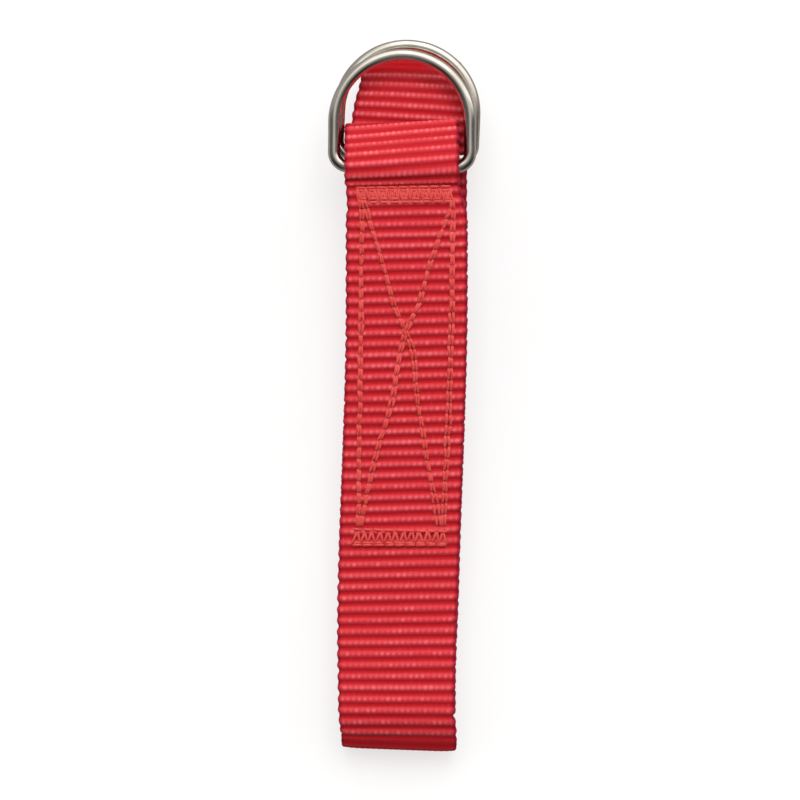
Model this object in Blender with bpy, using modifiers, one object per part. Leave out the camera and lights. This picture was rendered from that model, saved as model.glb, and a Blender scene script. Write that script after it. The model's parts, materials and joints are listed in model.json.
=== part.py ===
"""Web strap with two D-rings, its tail rolled flat behind it.

A 25 mm ribbed webbing wraps the bars of two D-rings and is sewn back on itself with a long
box and cross. The rest of the webbing is folded into a flat roll behind the sewn part.
The strap lies on its back: X is its width, +Y points to the rings, +Z is the front face.
"""

import math

import bmesh
import bpy
from mathutils import Matrix, Vector

MM = 0.001

# Webbing
WEB_THICK = 2.0 * MM
WEB_HALF = 12.5 * MM
LAYER_PITCH = 2.3 * MM
GAP = 0.3 * MM

# Sewn part: the front layer runs straight between these two heights of its centreline
SEAM_LOW_Y = -31.0 * MM
SEAM_LOW_Z = 13.6 * MM
SEAM_TOP_Y = 43.1 * MM
SEAM_TOP_Z = 19.0 * MM
SEAM_SLOPE = (SEAM_TOP_Z - SEAM_LOW_Z) / (SEAM_TOP_Y - SEAM_LOW_Y)
SEWN_END_Y = -33.5 * MM

# Ring loop: where it parts from the straight layers, and its side view round the bars
LOOP_FOOT_Y = 42.1 * MM
LOOP_CHIN = Vector((53.0, 13.1)) * MM
LOOP_CREST = Vector((55.9, 15.9)) * MM
LOOP_SHOULDER = Vector((52.2, 19.2)) * MM
BAR_ROOM = 0.7 * MM
OVER_BAR_BACK = 0.7 * MM
UNDER_BAR_LIFT = 0.1 * MM

# Lower fold, from the front layer over a low tip to the outer back layer
BACK_Z = WEB_THICK / 2
FOLD_TOP = Vector((-64.5, 13.0)) * MM
FOLD_TIP = Vector((-72.75, 5.0)) * MM
FOLD_FOOT = Vector((-66.5 * MM, BACK_Z))

# Rolled tail
ROLL_LOW_Y = -63.0 * MM
ROLL_SETTLED_Y = 36.0 * MM
TAIL_END_Y = -50.0 * MM
TAIL_START_Y = -60.0 * MM
OUTER_TURN_FOOT = Vector((62.5 * MM, BACK_Z))
OUTER_TURN_TIP = Vector((68.4, 4.6)) * MM
OUTER_TURN_TOP = Vector((60.0, 11.6)) * MM
INNER_TURN_FOOT = Vector((61.0 * MM, BACK_Z + LAYER_PITCH))
INNER_TURN_TIP = Vector((65.5, 5.6)) * MM
INNER_TURN_TOP = Vector((58.8, 9.3)) * MM
LOW_TURN_REACH = 3.2 * MM

# D-rings: outer size, wire, place of each bar's middle, and how far each ring lies turned
RING_WIDTH = 30.5 * MM
RING_HEIGHT = 25.8 * MM
WIRE = 2.5 * MM
RING_CORNER = 3.0 * MM
RING_DROOP = math.radians(-5.0)
FRONT_BAR = Vector((-0.52, 46.95, 18.4)) * MM
FRONT_TURN = math.radians(-0.4)
REAR_BAR = Vector((0.06, 49.28, 15.3)) * MM
REAR_TURN = math.radians(-2.6)

# Sewing
BOX_HALF = 9.4 * MM
BOX_TOP_Y = 38.6 * MM
BOX_LOW_Y = -27.0 * MM
THREAD = 0.5 * MM
SEAM_WIDTH = 0.6 * MM
TACK_TOP_Y = 41.2 * MM
TACK_LOW_Y = -29.4 * MM
TACK_HEIGHT = 3.0 * MM
TACK_STROKES = 23

BEND_STEPS = 20
RUN_STEPS = 12
TURN_STEPS = 10
CORNER_STEPS = 8
BOW_STEPS = 36


def clear_scene():
    for old in list(bpy.data.objects):
        bpy.data.objects.remove(old, do_unlink=True)


def smooth_step(value, low, high):
    """0 up to low, 1 from high on, and an even S between them."""
    t = min(max((value - low) / (high - low), 0.0), 1.0)
    return t * t * (3.0 - 2.0 * t)


def material(name, colour, roughness, metallic=0.0):
    made = bpy.data.materials.new(name)
    made.use_nodes = True
    shader = made.node_tree.nodes["Principled BSDF"]
    shader.inputs["Base Color"].default_value = (*colour, 1.0)
    shader.inputs["Roughness"].default_value = roughness
    shader.inputs["Metallic"].default_value = metallic
    return made


def add_mesh_object(name, mesh, collection, finish):
    mesh.materials.clear()
    mesh.materials.append(finish)
    made = bpy.data.objects.new(name, mesh)
    collection.objects.link(made)
    return made


# ---------------------------------------------------------------- the webbing's side view


def straight(start, end, steps=RUN_STEPS):
    return [start.lerp(end, i / steps) for i in range(steps)]


def curve_between(start, start_way, end, end_way, steps=BEND_STEPS):
    """Cubic from start to end that leaves and arrives along the two given directions."""
    reach = (end - start).length
    a = start_way.normalized() * reach
    b = end_way.normalized() * reach
    points = []
    for i in range(steps):
        t = i / steps
        points.append(
            start * (2 * t**3 - 3 * t**2 + 1)
            + a * (t**3 - 2 * t**2 + t)
            + end * (-2 * t**3 + 3 * t**2)
            + b * (t**3 - t**2)
        )
    return points


def half_turn(y, low_z, high_z, reach, rising, steps=BEND_STEPS):
    """Half an ellipse in the side view: it bulges by reach (+Y or -Y) between two layers."""
    middle = (low_z + high_z) / 2
    half = (high_z - low_z) / 2
    points = []
    for i in range(steps):
        angle = math.pi * i / steps - math.pi / 2
        height = half * math.sin(angle)
        z = middle + (height if rising else -height)
        points.append(Vector((y + reach * math.cos(angle), z)))
    return points


def leaning_turn(start, tip, end, side):
    """From one layer round a tip on the given side (+1 is +Y) back to another layer."""
    out = Vector((side, 0.0))
    climb = Vector((0.0, math.copysign(1.0, end.y - start.y)))
    there = curve_between(start, out, tip, climb, TURN_STEPS)
    return there + curve_between(tip, climb, end, -out, TURN_STEPS)


def front_height(y):
    """Centreline height of the front layer over the sewn part."""
    return SEAM_LOW_Z + SEAM_SLOPE * (y - SEAM_LOW_Y)


def sewn_end_line():
    """The sewn-back layer under the front layer, up to the ring loop."""
    under = Vector((0.0, -LAYER_PITCH))
    sewn_end = Vector((SEWN_END_Y, front_height(SEWN_END_Y)))
    top = Vector((LOOP_FOOT_Y - GAP, front_height(LOOP_FOOT_Y - GAP)))
    return [sewn_end + under, top + under]


def loop_line():
    """The loop that holds both bars: under the rear bar, over the crest and the front bar."""
    along = Vector((1.0, SEAM_SLOPE))
    under = Vector((0.0, -LAYER_PITCH))
    level = Vector((1.0, 0.0))
    foot = Vector((LOOP_FOOT_Y, front_height(LOOP_FOOT_Y)))
    last_stitch = Vector((SEAM_TOP_Y, SEAM_TOP_Z))
    over_front = Vector((0.0, (WIRE + WEB_THICK) / 2 + BAR_ROOM))
    over_bar = FRONT_BAR.yz + over_front + Vector((-OVER_BAR_BACK, 0.0))
    under_bar = REAR_BAR.yz - over_front + Vector((0.0, UNDER_BAR_LIFT))
    points = [foot + under]
    points += curve_between(last_stitch + under, Vector((1.0, -0.6)), under_bar, level, 8)
    points += curve_between(under_bar, level, LOOP_CHIN, Vector((1.0, 0.4)), 5)
    points += curve_between(LOOP_CHIN, Vector((1.0, 0.4)), LOOP_CREST, Vector((0.0, 1.0)), 6)
    points += curve_between(LOOP_CREST, Vector((0.0, 1.0)), LOOP_SHOULDER, Vector((-1.0, 0.6)), 6)
    points += curve_between(LOOP_SHOULDER, Vector((-1.0, 0.6)), over_bar, -level, 6)
    points += curve_between(over_bar, -level, last_stitch, -along, 6)
    return points + [last_stitch, foot]


def front_line():
    """The front layer from the ring loop down to the lower fold."""
    top = Vector((LOOP_FOOT_Y - GAP, front_height(LOOP_FOOT_Y - GAP)))
    seam_low = Vector((SEAM_LOW_Y, SEAM_LOW_Z))
    fold_start = FOLD_TOP + Vector((GAP, 0.0))
    points = straight(top, seam_low)
    points += curve_between(seam_low, Vector((-1.0, -SEAM_SLOPE)), fold_start, Vector((-1.0, 0.0)), 8)
    points.append(fold_start)
    return points


def fold_line():
    """The lower fold, from the front layer down and round to the outer back layer."""
    tail_start = Vector((TAIL_START_Y - GAP, BACK_Z))
    points = leaning_turn(FOLD_TOP, FOLD_TIP, FOLD_FOOT, -1)
    points += straight(FOLD_FOOT, tail_start, 2)
    points.append(tail_start)
    return points


def tail_line():
    """The rolled tail, from the outer back layer inwards to its free end."""
    inner_back = BACK_Z + LAYER_PITCH
    inner_front = inner_back + LAYER_PITCH
    outer_front = inner_front + LAYER_PITCH
    level = Vector((-1.0, 0.0))
    points = straight(Vector((TAIL_START_Y, BACK_Z)), OUTER_TURN_FOOT)
    points += leaning_turn(OUTER_TURN_FOOT, OUTER_TURN_TIP, OUTER_TURN_TOP, 1)
    outer_settled = Vector((ROLL_SETTLED_Y, outer_front))
    points += curve_between(OUTER_TURN_TOP, level, outer_settled, level, 10)
    points += straight(outer_settled, Vector((ROLL_LOW_Y, outer_front)))
    points += half_turn(ROLL_LOW_Y, inner_back, outer_front, -LOW_TURN_REACH, rising=False)
    points += straight(Vector((ROLL_LOW_Y, inner_back)), INNER_TURN_FOOT)
    points += leaning_turn(INNER_TURN_FOOT, INNER_TURN_TIP, INNER_TURN_TOP, 1)
    inner_settled = Vector((ROLL_SETTLED_Y, inner_front))
    points += curve_between(INNER_TURN_TOP, level, inner_settled, level, 10)
    tail_end = Vector((TAIL_END_Y, inner_front))
    points += straight(inner_settled, tail_end)
    points.append(tail_end)
    return points


# ------------------------------------------------------------ how the webbing lies sideways


def front_middle(y):
    """The front layer drifts a little to -X towards the lower fold, and at the ring loop."""
    drift = 0.45 - 2.1 * smooth_step(-y, -20.0 * MM, 58.0 * MM)
    at_loop = -0.95 * smooth_step(y, 43.0 * MM, 52.0 * MM)
    return (drift + at_loop) * MM


def front_half(y):
    return WEB_HALF - 1.3 * MM * smooth_step(y, 38.0 * MM, 45.0 * MM)


def tail_middle(y):
    drift = 0.65 - 1.9 * smooth_step(-y, -20.0 * MM, 58.0 * MM)
    at_crest = 1.0 * smooth_step(y, 54.0 * MM, 68.0 * MM)
    return (drift + at_crest) * MM


def tail_half(y):
    """The webbing cups and draws in a little round the upper crest of the roll."""
    cupped = 1.1 * smooth_step(y, 46.0 * MM, 57.0 * MM)
    drawn_in = 1.2 * smooth_step(y, 58.0 * MM, 70.0 * MM)
    return WEB_HALF - (cupped + drawn_in) * MM


def ribbon(name, line, middle, half, collection, finish):
    """A strip of webbing: its side view drawn as edges, extruded across and solidified."""
    mesh = bpy.data.meshes.new(name)
    bm = bmesh.new()
    near = [bm.verts.new((0.0, p.x, p.y)) for p in line]
    edges = [bm.edges.new(pair) for pair in zip(near, near[1:])]
    across = bmesh.ops.extrude_edge_only(bm, edges=edges)["geom"]
    far = {v for v in across if isinstance(v, bmesh.types.BMVert)}
    for v in bm.verts:
        side = 1.0 if v in far else -1.0
        v.co.x = middle(v.co.y) + side * half(v.co.y)
    bmesh.ops.recalc_face_normals(bm, faces=bm.faces)
    bm.to_mesh(mesh)
    bm.free()
    strip = add_mesh_object(name, mesh, collection, finish)
    solid = strip.modifiers.new("thickness", "SOLIDIFY")
    solid.thickness = WEB_THICK
    solid.offset = 0.0
    solid.use_even_offset = True
    return strip


# ------------------------------------------------------------------------------- the rings


def arc(x, y, radius, first, last, steps):
    points = []
    for i in range(steps + 1):
        angle = first + (last - first) * i / steps
        points.append((x + radius * math.cos(angle), y + radius * math.sin(angle)))
    return points


def ring_outline():
    """Wire centreline of a D-ring in its own plane, its bar along X through the origin."""
    side = (RING_WIDTH - WIRE) / 2
    height = RING_HEIGHT - WIRE
    bow_y = height - side
    corner_x = side - RING_CORNER
    quarter = math.pi / 2
    points = arc(corner_x, RING_CORNER, RING_CORNER, -quarter, 0.0, CORNER_STEPS)
    points += arc(0.0, bow_y, side, 0.0, 2 * quarter, BOW_STEPS)
    points += arc(-corner_x, RING_CORNER, RING_CORNER, 2 * quarter, 3 * quarter, CORNER_STEPS)
    return points


def d_ring(name, bar, turn, collection, finish):
    """A welded ring of round wire; its origin is on its bar, which is the joint's axis."""
    wire = bpy.data.curves.new(name, "CURVE")
    wire.dimensions = "3D"
    wire.bevel_depth = WIRE / 2
    wire.bevel_resolution = 3
    outline = ring_outline()
    path = wire.splines.new("POLY")
    path.points.add(len(outline) - 1)
    for point, (x, y) in zip(path.points, outline):
        point.co = (x, y, 0.0, 1.0)
    path.use_cyclic_u = True
    wire.materials.append(finish)
    ring = bpy.data.objects.new(name, wire)
    ring.matrix_world = (
        Matrix.Translation(bar) @ Matrix.Rotation(turn, 4, "Z") @ Matrix.Rotation(RING_DROOP, 4, "X")
    )
    collection.objects.link(ring)
    return ring


# ------------------------------------------------------------------------------ the sewing


def seam_surface(y, front):
    """Height of the thread's middle over the front face, or under the sewn-back end."""
    lift = WEB_THICK / 2 + GAP + THREAD / 2
    if front:
        return front_height(y) + lift
    return front_height(y) - LAYER_PITCH - lift


def as_mesh(curve, name):
    """The curve's evaluated shape as a welded mesh, with the curve itself removed."""
    holder = bpy.data.objects.new(name + "_curve", curve)
    bpy.context.scene.collection.objects.link(holder)
    depsgraph = bpy.context.evaluated_depsgraph_get()
    mesh = bpy.data.meshes.new_from_object(holder.evaluated_get(depsgraph))
    bpy.data.objects.remove(holder, do_unlink=True)
    bpy.data.curves.remove(curve)
    bm = bmesh.new()
    bm.from_mesh(mesh)
    bmesh.ops.remove_doubles(bm, verts=bm.verts, dist=0.00001)
    bmesh.ops.recalc_face_normals(bm, faces=bm.faces)
    bm.to_mesh(mesh)
    bm.free()
    mesh.name = name
    return mesh


def lay_on_seam(mesh, front):
    """Moves a flat mesh from its own plane onto the sewn part's sloping, drifting face."""
    for v in mesh.vertices:
        y = v.co.y
        v.co = (v.co.x + front_middle(y), y, v.co.z + seam_surface(y, front))


def rectangle(half_width, half_length, middle):
    low, high = middle - half_length, middle + half_length
    return [(-half_width, low), (half_width, low), (half_width, high), (-half_width, high)]


def closed_outline(curve, corners):
    outline = curve.splines.new("POLY")
    outline.points.add(len(corners) - 1)
    for point, (x, y) in zip(outline.points, corners):
        point.co = (x, y, 0.0, 1.0)
    outline.use_cyclic_u = True


def box_and_cross(name, front, collection, finish):
    """The long sewn box with its two diagonals: one outline with four three-sided holes."""
    curve = bpy.data.curves.new(name, "CURVE")
    curve.dimensions = "2D"
    curve.fill_mode = "BOTH"
    curve.extrude = THREAD / 2
    w = SEAM_WIDTH / 2
    middle = (BOX_TOP_Y + BOX_LOW_Y) / 2
    half_length = (BOX_TOP_Y - BOX_LOW_Y) / 2
    slope = half_length / BOX_HALF
    shift = w * math.sqrt(1 + slope**2)
    in_x = BOX_HALF - w
    in_y = half_length - w
    foot = (in_y - shift) / slope
    side_y = slope * in_x - shift
    closed_outline(curve, rectangle(BOX_HALF + w, half_length + w, middle))
    for end in (-1, 1):
        far_y = middle + end * in_y
        side_x = end * in_x
        tip_x = end * shift / slope
        closed_outline(curve, [(-foot, far_y), (foot, far_y), (0.0, middle + end * shift)])
        closed_outline(curve, [(side_x, middle - side_y), (side_x, middle + side_y), (tip_x, middle)])
    mesh = as_mesh(curve, name)
    lay_on_seam(mesh, front)
    return add_mesh_object(name, mesh, collection, finish)


def zigzag_tack(name, y, front, collection, finish):
    """One end of the box: a dense zigzag of thread across the webbing."""
    curve = bpy.data.curves.new(name, "CURVE")
    curve.dimensions = "3D"
    curve.bevel_depth = THREAD / 2
    curve.bevel_resolution = 1
    curve.use_fill_caps = True
    path = curve.splines.new("POLY")
    path.points.add(TACK_STROKES)
    for i, point in enumerate(path.points):
        x = -BOX_HALF + 2 * BOX_HALF * i / TACK_STROKES
        side = 0.5 if i % 2 else -0.5
        point.co = (x, y + side * TACK_HEIGHT, 0.0, 1.0)
    mesh = as_mesh(curve, name)
    lay_on_seam(mesh, front)
    return add_mesh_object(name, mesh, collection, finish)


# ------------------------------------------------------------------------------- the strap


def build():
    clear_scene()
    strap = bpy.data.collections.new("web_strap")
    bpy.context.scene.collection.children.link(strap)
    webbing = material("webbing", (0.62, 0.03, 0.05), 0.75)
    thread = material("thread", (0.75, 0.07, 0.05), 0.6)
    steel = material("ring_steel", (0.78, 0.77, 0.74), 0.18, 1.0)

    ribbon("strap_sewn_end", sewn_end_line(), front_middle, front_half, strap, webbing)
    ribbon("strap_ring_loop", loop_line(), front_middle, front_half, strap, webbing)
    ribbon("strap_front", front_line(), front_middle, front_half, strap, webbing)
    ribbon("strap_lower_fold", fold_line(), front_middle, front_half, strap, webbing)
    ribbon("strap_rolled_tail", tail_line(), tail_middle, tail_half, strap, webbing)
    d_ring("d_ring_front", FRONT_BAR, FRONT_TURN, strap, steel)
    d_ring("d_ring_rear", REAR_BAR, REAR_TURN, strap, steel)
    for side, front in (("front", True), ("back", False)):
        box_and_cross(f"box_cross_seam_{side}", front, strap, thread)
        zigzag_tack(f"upper_tack_{side}", TACK_TOP_Y, front, strap, thread)
        zigzag_tack(f"lower_tack_{side}", TACK_LOW_Y, front, strap, thread)


build()
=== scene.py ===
"""Looks of the web strap: ribbed webbing, its sewing and two plated D-rings.

Lengths are in metres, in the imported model's frame: X across the webbing, +Y towards the
rings, +Z out of the sewn front face. The webbing is one strip that follows a centreline in
the side view, from its sewn-back end round the rings, down the front, round the lower fold
and into the roll. Three pieces are cut from that strip, so they meet rib for rib.
"""

import json
import math

import bpy
import numpy as np
from mathutils import Matrix, Vector


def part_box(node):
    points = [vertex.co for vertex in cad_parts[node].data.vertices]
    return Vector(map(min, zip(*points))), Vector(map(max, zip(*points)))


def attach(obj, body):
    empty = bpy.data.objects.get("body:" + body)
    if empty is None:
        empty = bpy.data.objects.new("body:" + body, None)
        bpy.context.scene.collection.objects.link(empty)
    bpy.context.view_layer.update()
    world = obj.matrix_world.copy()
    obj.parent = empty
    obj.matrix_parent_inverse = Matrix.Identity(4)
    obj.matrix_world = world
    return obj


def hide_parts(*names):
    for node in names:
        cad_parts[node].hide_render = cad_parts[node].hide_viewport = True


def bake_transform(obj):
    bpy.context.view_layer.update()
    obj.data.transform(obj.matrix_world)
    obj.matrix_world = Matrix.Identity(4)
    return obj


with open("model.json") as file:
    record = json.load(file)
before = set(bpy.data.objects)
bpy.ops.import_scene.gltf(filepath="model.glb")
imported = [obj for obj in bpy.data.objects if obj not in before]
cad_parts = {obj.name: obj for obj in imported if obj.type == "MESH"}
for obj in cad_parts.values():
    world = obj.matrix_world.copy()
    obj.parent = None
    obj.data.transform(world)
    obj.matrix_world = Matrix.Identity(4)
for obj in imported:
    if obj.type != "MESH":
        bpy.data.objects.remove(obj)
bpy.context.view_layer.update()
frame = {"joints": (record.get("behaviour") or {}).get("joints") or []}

MM = 0.001

# Webbing: half thickness on a rib and in a groove, and the distance between layers
RIB_TOP = 1.06 * MM
GROOVE_TOP = 0.60 * MM
LAYER_PITCH = 2.3 * MM
WEB_THICK = 2.0 * MM
SELVEDGE = 0.95 * MM  # width of the rounded edge beside the flat face
EDGE_POINT = 0.97  # beads reach this share of the flat face's half width

# Ribs: distance between them on each stretch, and their number where the front starts
PITCH_SEWN_TOP = 2.215 * MM
PITCH_SEWN_LOW = 2.305 * MM
PITCH_LOOSE = 2.337 * MM
PITCH_LOOP = 2.13 * MM
PITCH_BACK = 2.3425 * MM
PITCH_CREST = 2.12 * MM
RIBS_BEFORE_FRONT = 49.22
RIB_SEED = 25

# Beads of yarn along a rib: how much lower the rib is between them, and how many there are
BEAD_DEPTH = 0.26
BEADS_ACROSS = 19
BEADS_SPARE = 2  # half the extra beads numbered beyond the edges
BEAD_FLARE = 0.14 * MM  # how far a bead widens its rib

# Wander of a groove along the webbing: its level, and (size, waves) of a long and a short wave
GROOVE_LEVEL = 0.040 * MM
GROOVE_LONG = (0.045 * MM, 2.2)
GROOVE_SHORT = (0.022 * MM, 7.0)

# Points across the outer and the inner face of each piece of webbing
SEEN_COLUMNS = 93
SEWN_BACK_COLUMNS = 11
ROLL_BACK_COLUMNS = 21
INNER_COLUMNS = 31

# Where the strap runs, as (y, z) of its centreline: the CAD's line, with its folds reaching a
# little further out and the seam's top a little higher
SEAM_LOW = (-31.0 * MM, 13.6 * MM)
SEAM_TOP = (43.1 * MM, 19.3 * MM)
SEAM_SLOPE = (SEAM_TOP[1] - SEAM_LOW[1]) / (SEAM_TOP[0] - SEAM_LOW[0])
SEWN_END_Y = -33.5 * MM
BACK_Z = WEB_THICK / 2
FOLD_TOP = (-64.5 * MM, 13.0 * MM)
FOLD_TIP = (-73.75 * MM, 5.0 * MM)
FOLD_FOOT = (-66.5 * MM, BACK_Z)
ROLL_LOW_Y = -63.0 * MM
ROLL_SETTLED_Y = 36.0 * MM
TAIL_START_Y = -60.0 * MM
TAIL_END_Y = -50.0 * MM
OUTER_TURN_FOOT = (62.5 * MM, BACK_Z)
OUTER_TURN_TIP = (69.9 * MM, 4.6 * MM)
OUTER_TURN_TOP = (60.0 * MM, 11.6 * MM)
INNER_TURN_FOOT = (61.0 * MM, BACK_Z + LAYER_PITCH)
INNER_TURN_TIP = (65.5 * MM, 5.6 * MM)
INNER_TURN_TOP = (58.8 * MM, 9.3 * MM)
LOW_TURN_REACH = 3.2 * MM
LOOP_CHIN = (53.0 * MM, 13.1 * MM)
LOOP_CREST = (55.9 * MM, 15.9 * MM)
LOOP_SHOULDER = (52.2 * MM, 19.2 * MM)
BAR_ROOM = 0.7 * MM
OVER_BAR_BACK = 0.7 * MM
UNDER_BAR_LIFT = 0.1 * MM

# Where the strap lies sideways, in mm of X at mm of Y: its middle line and its half width.
# Each track is a first value, what is added to it towards +Y and what is added towards -Y, as
# (size, from, to) with the places counted away from the origin.
FRONT_MIDDLE = (0.45, [(-1.0, 37.0, 45.0)], [(-2.1, -20.0, 58.0), (0.5, 65.0, 72.0)])
FRONT_HALF = (12.62, [(-0.76, 35.0, 42.5)], [(-0.45, 36.0, 70.0)])
TAIL_MIDDLE = (0.65, [(0.3, 46.0, 57.0), (0.7, 56.0, 68.0)], [(-1.9, -20.0, 58.0)])
TAIL_HALF = (12.50, [(-0.5, 46.0, 57.0), (-1.5, 57.0, 70.0)], [(-0.45, 40.0, 62.0)])

# How far the corners of the upper crest and of the lower fold are drawn in, and how far the
# lower fold and the ring loop run askew
CREST_BOW = 0.5 * MM
FOLD_BOW = 0.4 * MM
FOLD_TILT = 0.45 * MM
LOOP_TILT = 0.55 * MM
CREST_SPAN = (56.0 * MM, 69.0 * MM)
FOLD_SPAN = (68.0 * MM, 73.0 * MM)

# Where the face rolls out of sight at the crest (+Y) and at the fold (-Y), and how much its
# ribs flatten and their painted bead highlights fade there; the colour there gets painted shade
CREST_TURNS = (67.0 * MM, 68.8 * MM)
FOLD_TURNS = (70.9 * MM, 72.4 * MM)
TURNED_FLATTENS = 0.55
TURNED_DULLS = 0.8

# D-rings
RING_WIDTH = 30.5 * MM
RING_HEIGHT = 25.8 * MM
WIRE = 2.5 * MM
RING_CORNER = 3.0 * MM
RING_DROOP = math.radians(-5.0)
WELD = 0.10 * MM  # how far the weld stands out of the wire
WELD_REACH = 0.7 * MM
WIRE_UNEVEN = 0.006 * MM
WIRE_SIDES = 28
WIRE_STEP = 0.35 * MM
RING_SEEDS = {"front": 3, "rear": 8}

# Thread
THREAD = 0.31 * MM
STITCH = 2.3 * MM
PLY_TURN = 2.4 * MM  # length of one turn of the thread's plies
THREAD_SIDES = 9
THREAD_RINGS = 9
TWICE_APART = 0.24 * MM  # half the distance between the two passes along one line
HOLE_WANDER = 0.12 * MM
SEWING_SEED = 7

# Tacks: zigzag strokes, and rows sewn straight across as shares of the tack's height
UPPER_STROKES = 46
UPPER_ROWS = (0.0, 0.22, 0.50, 0.78, 1.0)
LOWER_STROKES = 24
LOWER_ROWS = (0.0, 0.12, 1.0)

# Webbing colours
# painted shade: the groove colour darkens the red down between the ribs, where the shade falls
GROOVE_SHADE_RED = (0.372, 0.0040, 0.008)
RIB_RED = (0.570, 0.036, 0.045)
# painted highlight: the pale red laid along the rib crests and beads
LIT_RED = (0.735, 0.140, 0.168)
CLOUD_RED = (0.500, 0.012, 0.026)
FIBRE_RED = (0.360, 0.006, 0.014)
SPOT_RED = (0.780, 0.090, 0.110)
# painted shade where the face rolls away at the upper crest and the lower fold
TURNED_SHADE_RED = (0.500, 0.004, 0.010)
# painted shade along the webbing's edges, deepest in the notches between ribs
SELVEDGE_SHADE_RED = (0.150, 0.002, 0.022)
MELTED_RED = (0.170, 0.003, 0.006)
SHEEN_PINK = (1.0, 0.55, 0.58, 1.0)

# Thread and steel colours
# painted shade between the thread's plies and painted highlight on their tops
PLY_SHADED = (0.470, 0.020, 0.019)
PLY_LIT = (0.640, 0.050, 0.043)
THREAD_PALE = (0.700, 0.090, 0.077)
STEEL_LIGHT = (0.78, 0.735, 0.67)
STEEL_CLOUDED = (0.63, 0.585, 0.52)
STEEL_SCUFFED = (0.46, 0.44, 0.40)

# Floor: its two tones and its glow, and what of them is seen mirrored in the wire
FLOOR_RADIUS = 4.0
FLOOR_DROP = 0.0002
FLOOR_SIDES = 96
FLOOR_TONES = ((0.29, 0.29, 0.29), (0.31, 0.31, 0.31))
FLOOR_MIRRORED = (0.22, 0.21, 0.20)
FLOOR_GLOW = 0.645
FLOOR_GLOW_MIRRORED = 0.05

# Strength of the studio's light from its -Y side and from its +Y side, and the lamp above
SIDE_LIGHT = 0.14
TOP_LIGHT = 1.50
STUDIO_WHITE = (1.0, 0.99, 0.97, 1.0)
BACKDROP = (0.93, 0.93, 0.93, 1.0)
KEY_PLACE = (0.02, 0.44, 0.80)
KEY_SIZE = 0.50
KEY_POWER = 4.9

CAMERA_AWAY = 600.0 * MM
CAMERA_AIM = Vector((-0.93, -0.97, 15.0)) * MM
VIEW_WIDTH = 165.4 * MM
SENSOR_WIDTH = 36.0


# ------------------------------------------------------------------------- small helpers


def smooth_step(value, low, high):
    t = np.clip((np.asarray(value, float) - low) / (high - low), 0.0, 1.0)
    return t * t * (3.0 - 2.0 * t)


def joint_place(name):
    return next(Vector(j["pos_m"]) for j in frame["joints"] if j["name"] == name)


def joint_axis(name):
    return next(Vector(j["axis"]) for j in frame["joints"] if j["name"] == name)


def skin(name, stacks, finish, closed=False, **facts):
    """One mesh from stacks of closed rings, an array (stack, ring, point, xyz).

    A closed stack joins its last ring to its first; an open one gets a cap at both ends.
    facts are float arrays (stack, ring, point) that become attributes of the points.
    """
    stacks = np.asarray(stacks, float)
    count, rings, around, _ = stacks.shape
    index = np.arange(count * rings * around).reshape(count, rings, around)
    low = index if closed else index[:, :-1]
    high = np.roll(index, -1, axis=1) if closed else index[:, 1:]
    quads = np.stack([low, np.roll(low, -1, 2), np.roll(high, -1, 2), high], -1).reshape(-1, 4)
    points = stacks.reshape(-1, 3)
    triangles = np.zeros((0, 3), int)
    values = {key: np.asarray(value, float).reshape(-1) for key, value in facts.items()}
    if not closed:
        ends = stacks[:, [0, -1]].mean(axis=2).reshape(-1, 3)
        hubs = len(points) + np.arange(count * 2).reshape(count, 2)
        first = np.stack([np.roll(index[:, 0], -1, 1), index[:, 0]], -1)
        last = np.stack([index[:, -1], np.roll(index[:, -1], -1, 1)], -1)
        for rim, hub in ((first, hubs[:, 0]), (last, hubs[:, 1])):
            middle = np.broadcast_to(hub[:, None, None], rim[..., :1].shape)
            triangles = np.concatenate([triangles, np.concatenate([rim, middle], -1).reshape(-1, 3)])
        points = np.concatenate([points, ends])
        for key, value in facts.items():
            hub_values = np.asarray(value, float)[:, [0, -1]].mean(axis=2).reshape(-1)
            values[key] = np.concatenate([values[key], hub_values])
    corners = points[quads[:, :3]]
    outward = np.einsum("ij,ij->i", corners[:, 0], np.cross(corners[:, 1], corners[:, 2])).sum()
    if outward < 0:
        quads = quads[:, ::-1]
        triangles = triangles[:, ::-1]
    mesh = bpy.data.meshes.new(name)
    mesh.vertices.add(len(points))
    mesh.vertices.foreach_set("co", points.ravel())
    mesh.loops.add(quads.size + triangles.size)
    mesh.loops.foreach_set("vertex_index", np.concatenate([quads.ravel(), triangles.ravel()]))
    totals = np.concatenate([np.full(len(quads), 4), np.full(len(triangles), 3)])
    mesh.polygons.add(len(totals))
    mesh.polygons.foreach_set("loop_start", np.concatenate([[0], np.cumsum(totals)[:-1]]))
    mesh.polygons.foreach_set("use_smooth", np.ones(len(totals), bool))
    for key, value in values.items():
        mesh.attributes.new(key, "FLOAT", "POINT").data.foreach_set("value", value.astype(np.float32))
    mesh.update(calc_edges=True)
    mesh.validate()
    mesh.materials.append(finish)
    piece = bpy.data.objects.new(name, mesh)
    bpy.context.scene.collection.objects.link(piece)
    return piece


# ------------------------------------------------------------- the webbing's side view


def straight(start, end, steps=60):
    t = np.linspace(0.0, 1.0, steps, endpoint=False)[:, None]
    return np.array(start) * (1 - t) + np.array(end) * t


def curve_between(start, start_way, end, end_way, steps=60):
    """Cubic from start to end that leaves and arrives along the two given directions."""
    start, end = np.array(start), np.array(end)
    reach = np.linalg.norm(end - start)
    a = np.array(start_way) / np.linalg.norm(start_way) * reach
    b = np.array(end_way) / np.linalg.norm(end_way) * reach
    t = np.linspace(0.0, 1.0, steps, endpoint=False)[:, None]
    return (
        start * (2 * t**3 - 3 * t**2 + 1)
        + a * (t**3 - 2 * t**2 + t)
        + end * (-2 * t**3 + 3 * t**2)
        + b * (t**3 - t**2)
    )


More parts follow.
